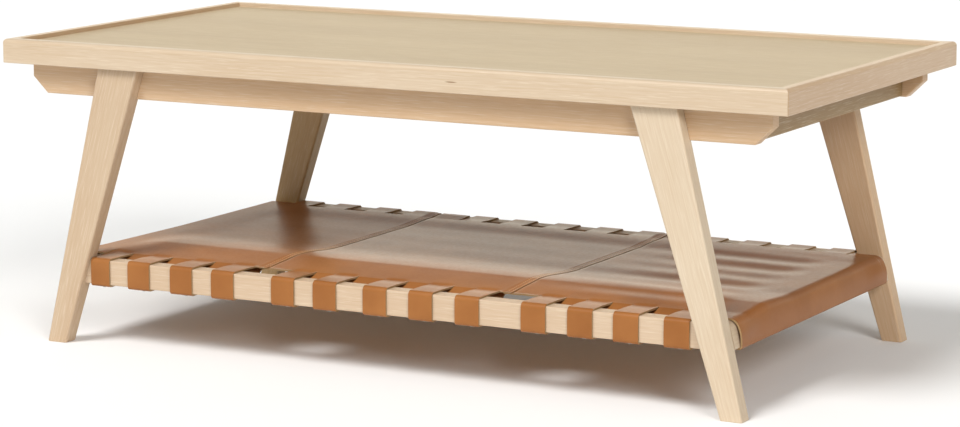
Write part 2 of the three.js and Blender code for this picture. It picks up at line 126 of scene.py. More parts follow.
# %% [markdown]
# The wood is oak that was limed: a thin white paste is rubbed into the open pores, wiped off across the
# grain, and sealed with a satin lacquer. To the eye that gives a pale straw colour, growth rings that show
# only faintly, and fine chalky streaks along the grain.
#
# A pattern painted on each face would break at the edges. Here the board is cut from a procedural log: the
# rings are cylinders around an axis that runs almost along the board, so they give straight lines on one
# face and long arches on the next, and meet at the corners as in real wood. Each board has its own turn and
# place in the log, and one of several tones, each with an early and a late wood. Some tones carry painted
# shade: the upper end rails, deep under the overhang of the top, get a tone of painted shade, and the darker
# tone of the back left leg and the warmer tone of the aprons and the back right leg partly paint the shade
# that falls on them under the table.
#
# Real oak fibres and pores are about a third of a millimetre wide. They are drawn a few times wider here,
# because finer ones don't show from the camera.

# %% Limed oak
ring_spacing = 5.0 * mm
fibre_width = 1.6 * mm
pore_width = 0.9 * mm
drift_length = 90.0 * mm
wave_period = 2 * math.pi / 20
log_turn = (0, math.radians(1.6), math.radians(2.2))
log_middle = (0.0, 0.09, -0.12)
ring_stretch = (0.25, 1, 1)
fibre_stretch = (0.03, 1, 1)
drift_stretch = (0.22, 1, 1)
ring_strength = 0.13
fibre_strength = 0.26
drift_strength = 0.35
lime_strength = 0.25
lime_colour = "#e8dcc8"
knot_colour = "#8a6a48"
straw = ("#cfbca3", "#ba9d7b")
wheat = ("#c7b195", "#b39271")
cream = ("#d4c4ac", "#c0a483")
linen = ("#cfb99f", "#bb9c7b")
# The next tone partly paints the warm shade on the boards under the top: the aprons and the back right leg.
honey_painted_warm_shade = ("#d4b593", "#bd976d")
clay = ("#c7aa89", "#b28d66")
# The next tone partly paints the deep shade on the back left leg, under the far end of the table.
amber_painted_shade = ("#c4a677", "#ad8957")
sage = ("#c6b18e", "#b39b79")
# The next tone is painted shade for the upper end rails, which stand deep under the overhang of the top.
painted_shade_dusk = ("#a18559", "#8c6b3f")


def limed_oak(name, turn, place, tone, satin=(0.4, 0.55), knot=None):
    """turn, in degrees, brings the board's length onto X, place picks its stretch of the log, tone holds its
    early and late wood, and satin its least and most roughness. A knot is the middle and the half sizes of a
    small dark ellipsoid."""
    material, tree, point = new_material(name)
    board = add(tree, "Mapping", {
        "Vector": point, "Rotation": [math.radians(angle) for angle in turn], "Location": place,
    })
    log = add(tree, "Mapping", {
        "Vector": board, "Rotation": log_turn, "Location": log_middle, "Scale": ring_stretch,
    })
    rings = add(tree, "TexWave", {
        "Vector": log, "Scale": wave_period / ring_spacing,
        "Distortion": 5.0, "Detail": 2.0, "Detail Scale": 0.12, "Detail Roughness": 0.55,
    }, "Fac", wave_type="RINGS", rings_direction="X", wave_profile="SAW")
    darkness = add(tree, "MapRange", {
        "Value": rings, "From Min": 0.35, "From Max": 1.0, "To Max": ring_strength,
    }, interpolation_type="SMOOTHSTEP")
    drawn = add(tree, "Mapping", {"Vector": board, "Scale": fibre_stretch})
    fibres = add(tree, "TexNoise", {"Vector": drawn, "Scale": 1 / fibre_width, "Detail": 3.0})
    pores = add(tree, "TexNoise", {"Vector": drawn, "Scale": 1 / pore_width, "Detail": 1.0})
    slow = add(tree, "Mapping", {"Vector": board, "Scale": drift_stretch})
    drift = add(tree, "TexNoise", {"Vector": slow, "Scale": 1 / drift_length, "Detail": 2.0})
    for noise, strength in ((fibres, fibre_strength), (drift, drift_strength)):
        share = add(tree, "MapRange", {"Value": noise, "From Min": 0.3, "From Max": 0.7, "To Max": strength})
        darkness = add(tree, "Math", {0: darkness, 1: share}, operation="ADD", use_clamp=True)
    wood = add(tree, "MixRGB", {"Fac": darkness, "Color1": colour(tone[0]), "Color2": colour(tone[1])})
    lime = add(tree, "MapRange", {"Value": pores, "From Min": 0.56, "From Max": 0.7, "To Max": lime_strength})
    surface = add(tree, "MixRGB", {"Fac": lime, "Color1": wood, "Color2": colour(lime_colour)})
    if knot:
        middle, half = knot
        away = add(tree, "VectorMath", {0: point, 1: middle}, operation="SUBTRACT")
        scaled = add(tree, "VectorMath", {0: away, 1: [1 / size for size in half]}, operation="MULTIPLY")
        distance = add(tree, "VectorMath", {0: scaled}, "Value", operation="LENGTH")
        core = add(tree, "MapRange", {"Value": distance, "From Min": 1.3, "From Max": 0.4, "To Max": 0.95},
                   interpolation_type="SMOOTHSTEP")
        surface = add(tree, "MixRGB", {"Fac": core, "Color1": surface, "Color2": colour(knot_colour)})
    relief = add(tree, "Math", {0: fibres, 1: pores}, operation="ADD")
    finish_material(tree, {
        "Base Color": surface,
        "Roughness": add(tree, "MapRange", {"Value": fibres, "To Min": satin[0], "To Max": satin[1]}),
        "Normal": add(tree, "Bump", {"Height": relief, "Strength": 0.25, "Distance": 0.15 * mm}),
        "IOR": 1.5,
    })
    return material


# %% [markdown]
# The leather is vegetable-tanned cattle hide, 2 to 3 mm thick and dyed tan. Its grain side is waxed, so it
# shines softly, and at a flat angle it mirrors the pale room and turns almost grey. The flesh side is a
# fawn suede, and a cut edge shows the pale fibres between the two.
#
# The grain of the hide was plated smooth, and only a faint relief of about a millimetre is left. Dye never
# takes evenly, so two slow noises shift the brown.

# %% Leather: grain side, flesh side and cut edge
pebble_size = 1.3 * mm
dye_patch = 55.0 * mm
dye_cloud = dye_patch / 0.3
wax_mottle = dye_patch / 12
suede_nap = 0.8 * mm
dye_ground = "#976133"
dye_layers = (
    (dye_patch, 4.0, (0.3, 0.7), 1.0, "#a9703e"),
    (dye_cloud, 2.0, (0.35, 0.65), 0.5, "#8d572d"),
    (pebble_size, 1.0, (0.2, 0.8), 0.04, "#814f26"),
)


def tan_leather(name, place, roughness):
    """The grain side of one hide. A layer of dye is a noise with its size, detail, span, greatest share and
    colour, and the last layer is the grain. place picks the hide's own patch of them, and roughness is its
    least and most, as no two hides take the wax alike."""
    material, tree, point = new_material(name)
    hide = add(tree, "Mapping", {"Vector": point, "Location": place})
    dye = colour(dye_ground)
    for size, detail, (low, high), most, layer in dye_layers:
        noise = add(tree, "TexNoise", {"Vector": hide, "Scale": 1 / size, "Detail": detail})
        share = add(tree, "MapRange", {"Value": noise, "From Min": low, "From Max": high, "To Max": most})
        dye = add(tree, "MixRGB", {"Fac": share, "Color1": dye, "Color2": colour(layer)})
    mottle = add(tree, "TexNoise", {"Vector": hide, "Scale": 1 / wax_mottle, "Detail": 3.0})
    gloss = add(tree, "MapRange", {
        "Value": mottle, "From Min": 0.3, "From Max": 0.7, "To Min": roughness[0], "To Max": roughness[1],
    })
    finish_material(tree, {
        "Base Color": dye,
        "Roughness": gloss,
        "Normal": add(tree, "Bump", {"Height": noise, "Strength": 0.2, "Distance": 0.05 * mm}),
        "IOR": 1.5,
        "Specular IOR Level": 0.15,
    })
    return material


def raw_leather(name, pale, deep, nap, roughness):
    """Leather without its grain: the suede of the flesh side, or the fibres of a cut edge."""
    material, tree, point = new_material(name)
    fibres = add(tree, "TexNoise", {"Vector": point, "Scale": 1 / nap, "Detail": 3.0})
    patches = add(tree, "TexNoise", {"Vector": point, "Scale": 1 / dye_patch, "Detail": 2.0})
    both = add(tree, "Math", {0: fibres, 1: patches}, operation="ADD")
    share = add(tree, "MapRange", {"Value": both, "From Min": 0.7, "From Max": 1.3})
    finish_material(tree, {
        "Base Color": add(tree, "MixRGB", {"Fac": share, "Color1": colour(pale), "Color2": colour(deep)}),
        "Roughness": roughness,
        "Normal": add(tree, "Bump", {"Height": fibres, "Strength": 0.5, "Distance": 0.2 * mm}),
        "IOR": 1.45,
    })
    return material


flesh_side = raw_leather("flesh_side_suede", "#b98a5c", "#9c6f45", suede_nap, 0.95)
cut_edge = raw_leather("cut_leather_edge", "#a88a62", "#8a6c48", suede_nap / 2, 0.85)

# %% [markdown]
# Two small finishes are left: the waxed linen thread of the seams, with a fine wave for its twisted plies,
# and the steel of bolts, angles and screws, zinc plated in a barrel, which leaves a nearly even pale grey
# with cloudy patches in its gloss.

# %% Thread and zinc-plated steel
thread_ply = 0.45 * mm
zinc_cloud = 6.0 * mm

seam_thread, tree, point = new_material("waxed_linen_thread")
plies = add(tree, "TexWave", {
    "Vector": point, "Scale": wave_period / thread_ply, "Distortion": 1.5,
}, "Fac", bands_direction="DIAGONAL")
cord = add(tree, "MixRGB", {"Fac": plies, "Color1": colour("#cf9d6a"), "Color2": colour("#e2bd90")})
finish_material(tree, {
    "Base Color": cord,
    "Roughness": 0.6,
    "Normal": add(tree, "Bump", {"Height": plies, "Strength": 0.4, "Distance": 0.1 * mm}),
})

zinc, tree, point = new_material("zinc_plated_steel")
clouds = add(tree, "TexNoise", {"Vector": point, "Scale": 1 / zinc_cloud, "Detail": 3.0})
grey = add(tree, "MixRGB", {"Fac": clouds, "Color1": colour("#b9bcbd"), "Color2": colour("#a3a6a6")})
finish_material(tree, {
    "Base Color": grey,
    "Roughness": add(tree, "MapRange", {"Value": clouds, "To Min": 0.28, "To Max": 0.5}),
    "Metallic": 1.0,
})
print("finishes:", seam_thread.name, "and", zinc.name)

# %% [markdown]
# The top panel, the aprons and most of the rails are plain boards whose construction solids already have the
# right shape: chamfered ends, housings for the legs and eased edges. They keep it and only get wood. A board
# that runs from front to back has its pattern turned a quarter, and each board takes another stretch of the
# log.

# %% Boards that keep their construction shape
def repaint(node, material):
    """Puts one material on a construction solid."""
    slots = nodes[node].material_slots
    if not slots:
        nodes[node].data.materials.append(material)
    for slot in slots:
        slot.material = material


along_x = (0, 0, 0)
along_y = (0, 0, -90)
for order, (side, end) in enumerate((("front", "left"), ("back", "right"))):
    boards = (
        # The aprons get a warmer tone that partly paints the warm shade under the top.
        (f"apron_{side}", along_x, (1.3 + order, 0.31, 0.17), honey_painted_warm_shade),
        (f"shelf_rail_{side}", along_x, (4.1 + order, 0.55, 0.4), linen),
        # The upper end rails get a tone of painted shade.
        (f"upper_end_rail_{end}", along_y, (7.2 + order, 0.2, 0.1), painted_shade_dusk),
    )
    for node, grain, place, tone in boards:
        repaint(node, limed_oak(f"limed_oak_{node}", grain, place, tone))
repaint("top_panel", limed_oak("limed_oak_panel", along_x, (0.4, 0.05, 0.0), sage))
steel_kinds = ("leg_bolt", "top_bracket", "top_screw", "rail_screw")
steel_nodes = [node for node in nodes if node.startswith(steel_kinds)]
for node in steel_nodes:
    repaint(node, zinc)
print("boards repainted, with", len(steel_nodes), "steel pieces")

# %% [markdown]
# New pieces are surfaces worked out as whole arrays. A board is a closed ring of points carried through a
# row of stations, which `skin` joins with four-sided faces and closes at both ends.

# %% From arrays to meshes
def outline(low, high, radii, steps=8):
    """Closed anticlockwise rectangle between two corners, each of its four corners with a round of its own:
    a quarter circle about a centre that lies one radius inside both sides."""
    corners = np.array([low, (high[0], low[1]), high, (low[0], high[1])])
    radii = np.broadcast_to(radii, 4)[:, None]
    centres = corners + np.sign((corners[0] + corners[2]) / 2 - corners) * radii
    angles = (np.arange(4)[:, None] + 2) * math.pi / 2 + np.linspace(0, math.pi / 2, steps + 1)
    arcs = np.stack([np.cos(angles), np.sin(angles)], -1) * radii[:, None]
    return (centres[:, None] + arcs).reshape(-1, 2)


def skin(rings):
    """Faces over rings[k, i]: four-sided between ring k and k + 1, and one many-sided face on each end."""
    count, around = rings.shape[:2]
    k = np.arange(count - 1)[:, None] * around
    i = np.arange(around)[None, :]
    j = (i + 1) % around
    sides = np.stack([k + i, k + j, k + around + j, k + around + i], -1).reshape(-1, 4)
    last = (count - 1) * around + np.arange(around)
    return sides.tolist() + [np.arange(around)[::-1].tolist(), last.tolist()]


def new_piece(name, points, faces, materials, smooth_below=35):
    """A mesh object at the origin. Edges that turn more than smooth_below degrees stay sharp."""
    mesh = bpy.data.meshes.new(name)
    mesh.from_pydata(np.asarray(points).reshape(-1, 3).tolist(), [], faces)
    mesh.shade_smooth()
    mesh.set_sharp_from_angle(angle=math.radians(smooth_below))
    for material in materials:
        mesh.materials.append(material)
    return new_object(name, mesh)


def stand_for(piece, slot, *replaced):
    """The piece rides with the one rigid body of the table and takes the place of its solids."""
    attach(piece, "root")
    if replaced:
        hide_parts(*replaced)


def even_shading(piece):
    """Lets the wide flat faces decide the shading, so that a small round edge doesn't bend their light."""
    piece.modifiers.new("even_shading", "WEIGHTED_NORMAL").keep_sharp = True


def new_board(name, rings, wood, node):
    """A board made of rings, in the place of its solid."""
    board = new_piece(name, rings, skin(rings), [wood])
    even_shading(board)
    stand_for(board, "limed_oak", node)


# %% [markdown]
# The legs are flat boards, tapered on both edges and splayed towards the ends of the table. Their long edges
# are rounded over by about 3 mm, and the foot is eased so that it doesn't splinter when the table is pushed.
# Each leg is one skin: a round-cornered rectangle whose width and place follow two straight lines.

# %% Legs
leg_edge_radius = 3.0 * mm
foot_easing = 1.2 * mm
easing_steps = 4
same_level = 0.05 * mm
# The back legs' tones partly paint the shade that falls on them under the table.
leg_tones = {"back_left": amber_painted_shade, "back_right": honey_painted_warm_shade, "front_left": wheat, "front_right": cream}


def leg_ends(node):
    """Height of a leg's head, and the lowest and highest corner of its foot and of its head."""
    co = np.zeros(len(nodes[node].data.vertices) * 3)
    nodes[node].data.vertices.foreach_get("co", co)
    co = co.reshape(-1, 3)
    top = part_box(node)[1].z
    foot, head = (co[np.abs(co[:, 2] - level) < same_level] for level in (0, top))
    return top, (foot.min(0), foot.max(0)), (head.min(0), head.max(0))


def leg_skin(top, foot, head):
    """Rings of a leg from the floor up: X follows the two straight edges, and the lowest rings are drawn in
    along a quarter circle."""
    quarter = np.linspace(0, math.pi / 2, easing_steps + 1)
    levels = np.append(foot_easing * (1 - np.cos(quarter)), top)
    insets = np.append(foot_easing * (1 - np.sin(quarter)), 0)
    rings = []
    for level, inset in zip(levels, insets):
        near, far = (low + (high - low) * level / top for low, high in zip(foot, head))
        flat = outline(near[:2] + inset, far[:2] - inset, leg_edge_radius, steps=6)
        rings.append(np.insert(flat, 2, level, axis=1))
    return np.array(rings)


for order, (corner, tone) in enumerate(leg_tones.items()):
    node = f"leg_{corner}"
    top, foot, head = leg_ends(node)
    lean = math.degrees(math.atan2((sum(head)[0] - sum(foot)[0]) / 2, top))
    place = (11.3 + order, 0.15 * order, 0.1 * order)
    wood = limed_oak(f"limed_oak_{node}", (0, 90 - lean, 0), place, tone)
    new_board(f"{node}_board", leg_skin(top, foot, head), wood, node)
    print(node, "leans", round(lean, 1), "degrees to +X")

# %% [markdown]
# The tray's edge frame is four rails with mitred corners. The outer top edge is rounded over by 6 mm, the
# inner one is only eased, and the vertical corners are nearly sharp. Hands and sleeves keep the frame a
# little shinier than the rest, and its front has one small knot. A rail is one outline carried along its
# length, and at each end it is cut back by its own depth, which is what a 45 degree mitre does. Quarter turns
# bring it to the other sides.

# %% Edge frame of the tray
edge_outer_radius = 6.0 * mm
edge_inner_radius = 1.2 * mm
edge_low_radius = 1.0 * mm
edge_satin = (0.28, 0.4)
corner_radius = 2.0 * mm
mitre_gap = 0.15 * mm
edge_low, edge_high = (corner.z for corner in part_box("top_edge_front"))
edge_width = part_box("top_panel")[0].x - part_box("top_edge_left")[0].x
half_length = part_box("top_edge_right")[1].x
half_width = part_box("top_edge_back")[1].y
front_knot = ((0.124, -half_width, 0.413), (9 * mm, 3 * mm, 0.95 * mm))


def edge_rail(half, steps=4):
    """Rings from -half to half of a rail along X whose outer face is at y = 0. The mitre cuts depth u back
    to half - u. The last rings draw the outer face in along an eighth of a circle, which eases the corner."""
    radii = (edge_low_radius, edge_inner_radius / 2, edge_inner_radius, edge_outer_radius)
    u, height = outline((0, edge_low), (edge_width, edge_high), radii).T
    near_face = np.clip(1 - u / corner_radius, 0, 1)
    angles = np.linspace(0, math.pi / 4, steps + 1)
    inset = corner_radius * (1 - np.cos(angles))
    set_back = corner_radius * (math.sin(math.pi / 4) - np.sin(angles))
    depth = u + inset[:, None] * near_face
    cut = u + inset[-1] * near_face
    x = half - mitre_gap - cut[None, :] - set_back[:, None]
    right = np.stack([x, depth, np.broadcast_to(height, x.shape)], -1)
    return np.concatenate([right[::-1] * (-1, 1, 1), right])


quarter_turn = np.array([(0, 1, 0), (-1, 0, 0), (0, 0, 1)])
long_pair = (half_length, half_width, along_x, straw)
short_pair = (half_width, half_length, along_y, clay)
for order, name in enumerate(("front", "right", "back", "left")):
    half, away, grain, tone = short_pair if order % 2 else long_pair
    rings = (edge_rail(half) - (0, away, 0)) @ np.linalg.matrix_power(quarter_turn, order)
    knot = front_knot if name == "front" else None
    place = (16.2 + 1.7 * order, 0.21, 0.33)
    wood = limed_oak(f"limed_oak_edge_{name}", grain, place, tone, edge_satin, knot)
    new_board(f"top_edge_{name}_rail", rings, wood, f"top_edge_{name}")
print("edge frame, mm:", np.round(np.array([2 * half_length, 2 * half_width, edge_width]) / mm, 1))

# %% [markdown]
# ## The leather shelf
# Three panels of hide are sewn side by side. Slits cut their long edges into tabs. The tabs cross the front
# and back rail, turn down over the round of the wood and under it, where a screw holds each of them, and
# their tails run back up to the flesh side of the sheet. Between the tabs short flaps hang down behind the
# rail. The two side panels also turn down over the end rails.
#
# A cloth simulation would soften the slits and move the tabs, so the shape is written down instead. Each
# panel is one grid of points on the flesh side, which lies on the wood. A stretch of it is sheet, tab, flap
# or end wrap, each a function of two parameters.

# %% Places of the shelf, from the construction
leather_thickness = 2.4 * mm
leather_clearance = 0.3 * mm
tab_width = 36.0 * mm
front_slit_inset = 59.0 * mm
slit_gap = 1.2 * mm
flap_gap = 6.0 * mm
leg_to_tab = 3.0 * mm
seam_to_tab = 32.0 * mm
tolerance = 1.0 * mm
rail_low, rail_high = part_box("shelf_rail_back")
rail_inner, rail_bottom = rail_low.yz
rail_face, rail_top = rail_high.yz
level = rail_top + leather_clearance
front_slit_y = rail_face - front_slit_inset
sheet_half_y = rail_inner - flap_gap
seam_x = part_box("leather_panel_centre")[1].x
end_rail_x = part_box("shelf_end_rail_right")[0].x
end_flat_x = end_rail_x - flap_gap
leg_top, right_foot, right_head = leg_ends("leg_back_right")


def leg_x(z):
    """Inner and outer face of a right leg at a height, on straight lines from foot to head."""
    return [foot[0] + (head[0] - foot[0]) * z / leg_top for foot, head in zip(right_foot, right_head)]


# %% [markdown]
# The end rails of the shelf lean as the outer faces of the legs do. The leather turns down over them in a
# soft curve, so their upper outer edge is rounded far more than the others. A rail is its outline, sheared
# to lean, carried from tenon to tenon: the rings step from the small outline of the tenon to the full one.

# %% End rails of the shelf
end_rail_radius = 10.0 * mm
end_rail_easing = 2.0 * mm
tenon_length = 12.3 * mm
tenon_half_width = 4.5 * mm
tenon_inset = 6.0 * mm
tenon_radius = 0.5 * mm
rail_height = rail_top - rail_bottom
high_x, low_x = leg_x(rail_top)[1], leg_x(rail_bottom)[1]
radii = (end_rail_easing, end_rail_easing, end_rail_radius, end_rail_easing)
body = outline((end_rail_x, rail_bottom), (high_x, rail_top), radii)
body[:, 0] += (rail_top - body[:, 1]) * (low_x - high_x) / rail_height
middle = np.array([end_rail_x + low_x, rail_bottom + rail_top]) / 2
half = np.array([tenon_half_width, rail_height / 2 - tenon_inset])
tenon = outline(middle - half, middle + half, tenon_radius)
end_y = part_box("shelf_end_rail_right")[1].y
shoulder_y = end_y - tenon_length
stations = ((tenon, -end_y), (tenon, -shoulder_y), (body, -shoulder_y),
            (body, shoulder_y), (tenon, shoulder_y), (tenon, end_y))
right_rings = np.array([np.insert(flat, 1, y, axis=1) for flat, y in stations])
for order, (end, rings) in enumerate((("left", right_rings * (-1, 1, 1)), ("right", right_rings[::-1]))):
    wood = limed_oak(f"limed_oak_end_rail_{end}", along_y, (9.4 + order, 0.6, 0.3), straw)
    new_board(f"shelf_end_rail_{end}_board", rings, wood, f"shelf_end_rail_{end}")
print("end rails lean", round((low_x - high_x) / mm, 1), "mm over their height")

# %% [markdown]
# The slits divide each long edge into tabs. They were marked out evenly between the seams and the legs.

# %% Places of the tabs
def tab_middles(count, first_edge, last_edge):
    """Even spread of tabs whose outermost edges lie at two given places."""
    return np.linspace(first_edge + tab_width / 2, last_edge - tab_width / 2, count)


leg_face_x = leg_x(level + leather_thickness)[0]
centre_tabs = tab_middles(5, seam_to_tab - seam_x, seam_x - seam_to_tab)
right_tabs = tab_middles(4, seam_x + seam_to_tab, leg_face_x - leg_to_tab)
left_tabs = -right_tabs[::-1]
print("tab middles, mm:", np.round(np.append(centre_tabs, right_tabs) / mm, 1))

# %% [markdown]
# Round a rail the leather follows straight lines with round corners. Such a run is a row of points, and both
# the tabs and the end wraps use one.

# %% Runs round the rails
def rounded_run(corners, radii, spacing=5 * mm, arc_steps=8):
    """Points along the lines through the corners, about one spacing apart. At an inner corner with a turn t
    and radius r, an arc starts r * tan(t / 2) before the corner and turns about a centre that lies r to the
    inside. A corner without a radius is one point."""
    corners = np.array(corners)
    ways = np.diff(corners, axis=0)
    ways /= np.linalg.norm(ways, axis=1)[:, None]
    arcs = []
    for corner, radius, before, after in zip(corners[1:-1], radii, ways[:-1], ways[1:]):
        turn = math.atan2(before[0] * after[1] - before[1] * after[0], before @ after)
        start = corner - before * radius * math.tan(abs(turn) / 2)
        arm = np.array([before[1], -before[0]]) * math.copysign(radius, turn)
        angles = np.linspace(0, turn, arc_steps + 1 if radius else 1)
        c, s = np.cos(angles), np.sin(angles)
        arcs.append(start - arm + np.column_stack([c * arm[0] - s * arm[1], s * arm[0] + c * arm[1]]))
    run = [corners[:1]]
    for arc in (*arcs, corners[-1:]):
        last = run[-1][-1]
        count = max(1, round(np.linalg.norm(arc[0] - last) / spacing))
        run += [np.linspace(last, arc[0], count + 1)[1:-1], arc]
    return np.concatenate(run)


def lengths_along(run):
    """Length of the run up to each of its points."""
    return np.append(0, np.cumsum(np.linalg.norm(np.diff(run, axis=0), axis=1)))


def outward(run):
    """Unit normals: the run's direction turned a quarter to the left, as a run that goes out and then down
    has its grain side on the left."""
    way = np.gradient(run, axis=0)
    way /= np.linalg.norm(way, axis=1)[:, None]
    return np.column_stack([-way[:, 1], way[:, 0]])


tab_radii = (0, 4.2 * mm, 2.2 * mm, 2.5 * mm, 2.5 * mm)
tail_end_y = 200.0 * mm
tail_lap = 14.0 * mm
tail_drop = 4.0 * mm
wrap_radii = (end_rail_radius + leather_clearance, 1.8 * mm)
wrap_return = 20.0 * mm
face_y = rail_face + leather_clearance
under_z = rail_bottom - leather_clearance
wrap_top_x = high_x + leather_clearance
wrap_low_x = low_x + leather_clearance


def tab_run(slit_y):
    """From the root of a tab over the rail, down its face, back under it and up to the underside of the
    sheet, as depth and height."""
    tail_z = level - tail_drop
    over = [(slit_y, level), (rail_inner, level), (face_y, level)]
    under = [(face_y, under_z), (rail_inner, under_z), (tail_end_y + tail_lap, tail_z), (tail_end_y, tail_z)]
    return rounded_run(over + under, tab_radii)


wrap_end_x = wrap_low_x - wrap_return
wrap_corners = [(end_flat_x, level), (wrap_top_x, level), (wrap_low_x, under_z), (wrap_end_x, under_z)]
end_run = rounded_run(wrap_corners, wrap_radii)
end_length = lengths_along(end_run)[-1]
wrapped_x = end_flat_x + end_length
print("an end wrap is", round(end_length / mm, 1), "mm long")

# %% [markdown]
# Between the rails the leather is not flat. It was stretched wet and has dried with a soft crest a hand's
# width behind the front rail and a low trough beyond it, from which it climbs to the back rail. Its section
# is written as a few heights that are joined by half waves. From the crest it falls straight to the front
# slits, the short flaps between the tabs hang on down, and long shallow ripples grow to the right.

# %% Height of the sheet
crest_y = -157.0 * mm
crest_rise = 5.8 * mm
front_slit_rise = -1.0 * mm
section = ((crest_y, crest_rise), (-35 * mm, -1.3 * mm), (150 * mm, -1.3 * mm), (222 * mm, 1.2 * mm))
left_end_rise = 3.4 * mm
right_end_share = 0.6
front_flap_rise = -9.5 * mm
back_flap_rise = -7.5 * mm
back_seam_rise = 1.6 * mm
end_flat_reach = 55.0 * mm
ripple_height = 0.5 * mm
ripple_least = 0.15
ripple_growth = 1.5
ripple_fade = 60.0 * mm
ripple_waves = ((66 * mm, 0.05, 0.6, 1.0), (112 * mm, -0.08, 2.1, 0.6))


def ease(share):
    """From 0 to 1 along half a cosine wave, level at both ends."""
    return (1 - np.cos(math.pi * np.clip(share, 0, 1))) / 2


def near_seam(x):
    """True between the two tabs on both sides of a seam."""
    return np.abs(np.abs(x) - seam_x) < seam_to_tab + tolerance


def free_of_ends(x):
    """From 0 on an end rail to 1 where it no longer holds the sheet."""
    return ease((end_flat_x - np.abs(x)) / end_flat_reach)


def sheet_rise(x, y, back_slit_y):
    """Height above the level of the rails. Each half wave of the section adds its own step, then come the
    straight fall and the flaps. Beside a seam, where two hides stiffen each other, the flap stays up. On the
    right end rail 0.6 of the crest is left, and on the left one the leather climbs to the front corner."""
    rise = crest_rise + 0 * x
    for (start, low), (end, high) in zip(section, section[1:]):
        rise = rise + (high - low) * ease((y - start) / (end - start))
    to_slit = np.clip((crest_y - y) / (crest_y + front_slit_y), 0, 1)
    rise = rise - (crest_rise - front_slit_rise) * to_slit
    front = np.clip((-y - front_slit_y) / (sheet_half_y - front_slit_y), 0, 1)
    back = np.clip((y - back_slit_y) / (sheet_half_y - back_slit_y), 0, 1)
    rise = rise + np.where(near_seam(x), 0, front_flap_rise - front_slit_rise) * front
    rise = rise + np.where(near_seam(x), back_seam_rise, back_flap_rise) * back
    free = free_of_ends(x)
    on_left = left_end_rise * np.clip(-y / sheet_half_y, 0, 1)
    on_right = right_end_share * np.clip(rise, 0, None)
    return rise * free + np.where(x < 0, on_left, on_right) * (1 - free)


def ripples(x, y):
    """Waves whose crests run along the table. They grow towards the right end and vanish at the rails."""
    waves = sum(share * np.sin(2 * math.pi * (y + tilt * x) / length + start)
                for length, tilt, start, share in ripple_waves)
    grown = ripple_least + ripple_growth * ease((x / end_flat_x - 0.35) / 0.4)
    return ripple_height * waves * grown * free_of_ends(x) * ease((front_slit_y - np.abs(y)) / ripple_fade)


# %% [markdown]
# A seam is a lap: the hide on the left lies over the next one by 14 mm, and two rows of stitches hold them.
# Where they overlap, both hides are skived, which means pared down to half their thickness from the flesh
# side and the grain side, so the seam is hardly thicker than the sheet. What shows is a fine groove along the
# cut edge, and a soft dent along each row of stitches.

# %% Laps at the seams
lap_width = 14.0 * mm
left_edge = -seam_x - lap_width
right_edge = seam_x - lap_width
upper_skive = 0.48
lower_skive = 0.54
skive_run = 6.0 * mm
groove_width = 2.6 * mm
lap_gap = 0.15 * mm
stitch_rows = (3.5 * mm, 10.0 * mm)
stitch_dent = 0.5 * mm
dent_width = 1.2 * mm
dent_side = 1.3 * mm


def laps(x, under=None, over=None):
    """Rise of the flesh side, and share of the thickness that is left, for a hide that passes under its left
    neighbour's edge and ends over its right one. The lower hide loses its grain side, with a groove beyond
    the edge, and dents are narrow bell curves along the rows of stitches."""
    rise, share = 0 * x, 1 + 0 * x
    if under is not None:
        share = 1 - lower_skive * (1 - ease((x - under) / groove_width))
    if over is not None:
        pared = ease((x - over + lap_width + skive_run) / skive_run)
        dents = sum(np.exp(-(((x - over + row) / dent_width) ** 2)) for row in stitch_rows)
        rise = (leather_thickness * upper_skive + lap_gap) * pared - stitch_dent * dents
        share = share * (1 - upper_skive * pared)
    return rise, share


def lap_columns(edge):
    """Places across a seam that need a column of their own."""
    rows = [edge - row + step for row in stitch_rows for step in (-dent_side, 0, dent_side)]
    groove = [edge, edge + groove_width / 2, edge + groove_width]
    return [edge - lap_width - skive_run, edge - lap_width, *rows, *groove]


# %% [markdown]
# The tabs were cut by hand, so none of them sits exactly at its place in the even spread. The shifts are
# given for the front and the back edge of each panel, in the order of the tabs.

# %% Where the tabs were really cut
left_shifts = np.array([(-7, -8, -5, -5), (0, -2, 2, -1)]) * mm
centre_shifts = np.array([(-7, -11, -3, -3, -3), (4, 1, 2, 2, 1)]) * mm
right_shifts = np.array([(-4, -4, -6, -2), (3, 2, 4, 0)]) * mm
leg_clearance = 1.2 * mm
tab_limit = leg_face_x - leg_clearance
shift_fade = 70.0 * mm


def shift_at(u, tabs, shifts):
    """Shift of any place along one edge: that of the tab it belongs to, and between tabs a straight line.
    No tab is pushed into a leg: the edge that would touch stays clear of it."""
    edges = (np.array(tabs)[:, None] + np.array([-0.5, 0.5]) * tab_width).ravel()
    moved = np.clip(edges + np.repeat(shifts, 2), -tab_limit, tab_limit)
    places = [tabs[0] - shift_fade, *edges, tabs[-1] + shift_fade]
    return np.interp(u, places, [0, *(moved - edges), 0])


# %% [markdown]
# One grid makes a whole panel. Its columns have an extra line at each side of every slit. Its rows run from
# the underside of the front rail, over the sheet, to the underside of the back rail. A column inside a tab
# follows the run round the rail, any other one its short flap, and the faces that would fill a slit are left
# out. In a side panel, the columns beyond the end rail follow its run.

# %% Columns and rows of a panel
grid_step = 4.0 * mm
seam_flap_front = front_slit_y + 5 * mm
seam_flap_back = sheet_half_y + 9 * mm
edge_wander = 1.2 * mm
wander_step = 8.0 * mm


def filled(breaks, spacing):
    """All breaks, with evenly spaced places between them."""
    breaks = np.unique(np.round(breaks, 7))
    counts = np.ceil(np.diff(breaks) / spacing).astype(int)
    parts = [np.linspace(a, b, n + 1)[:-1] for a, b, n in zip(breaks, breaks[1:], counts)]
    return np.append(np.concatenate(parts), breaks[-1])


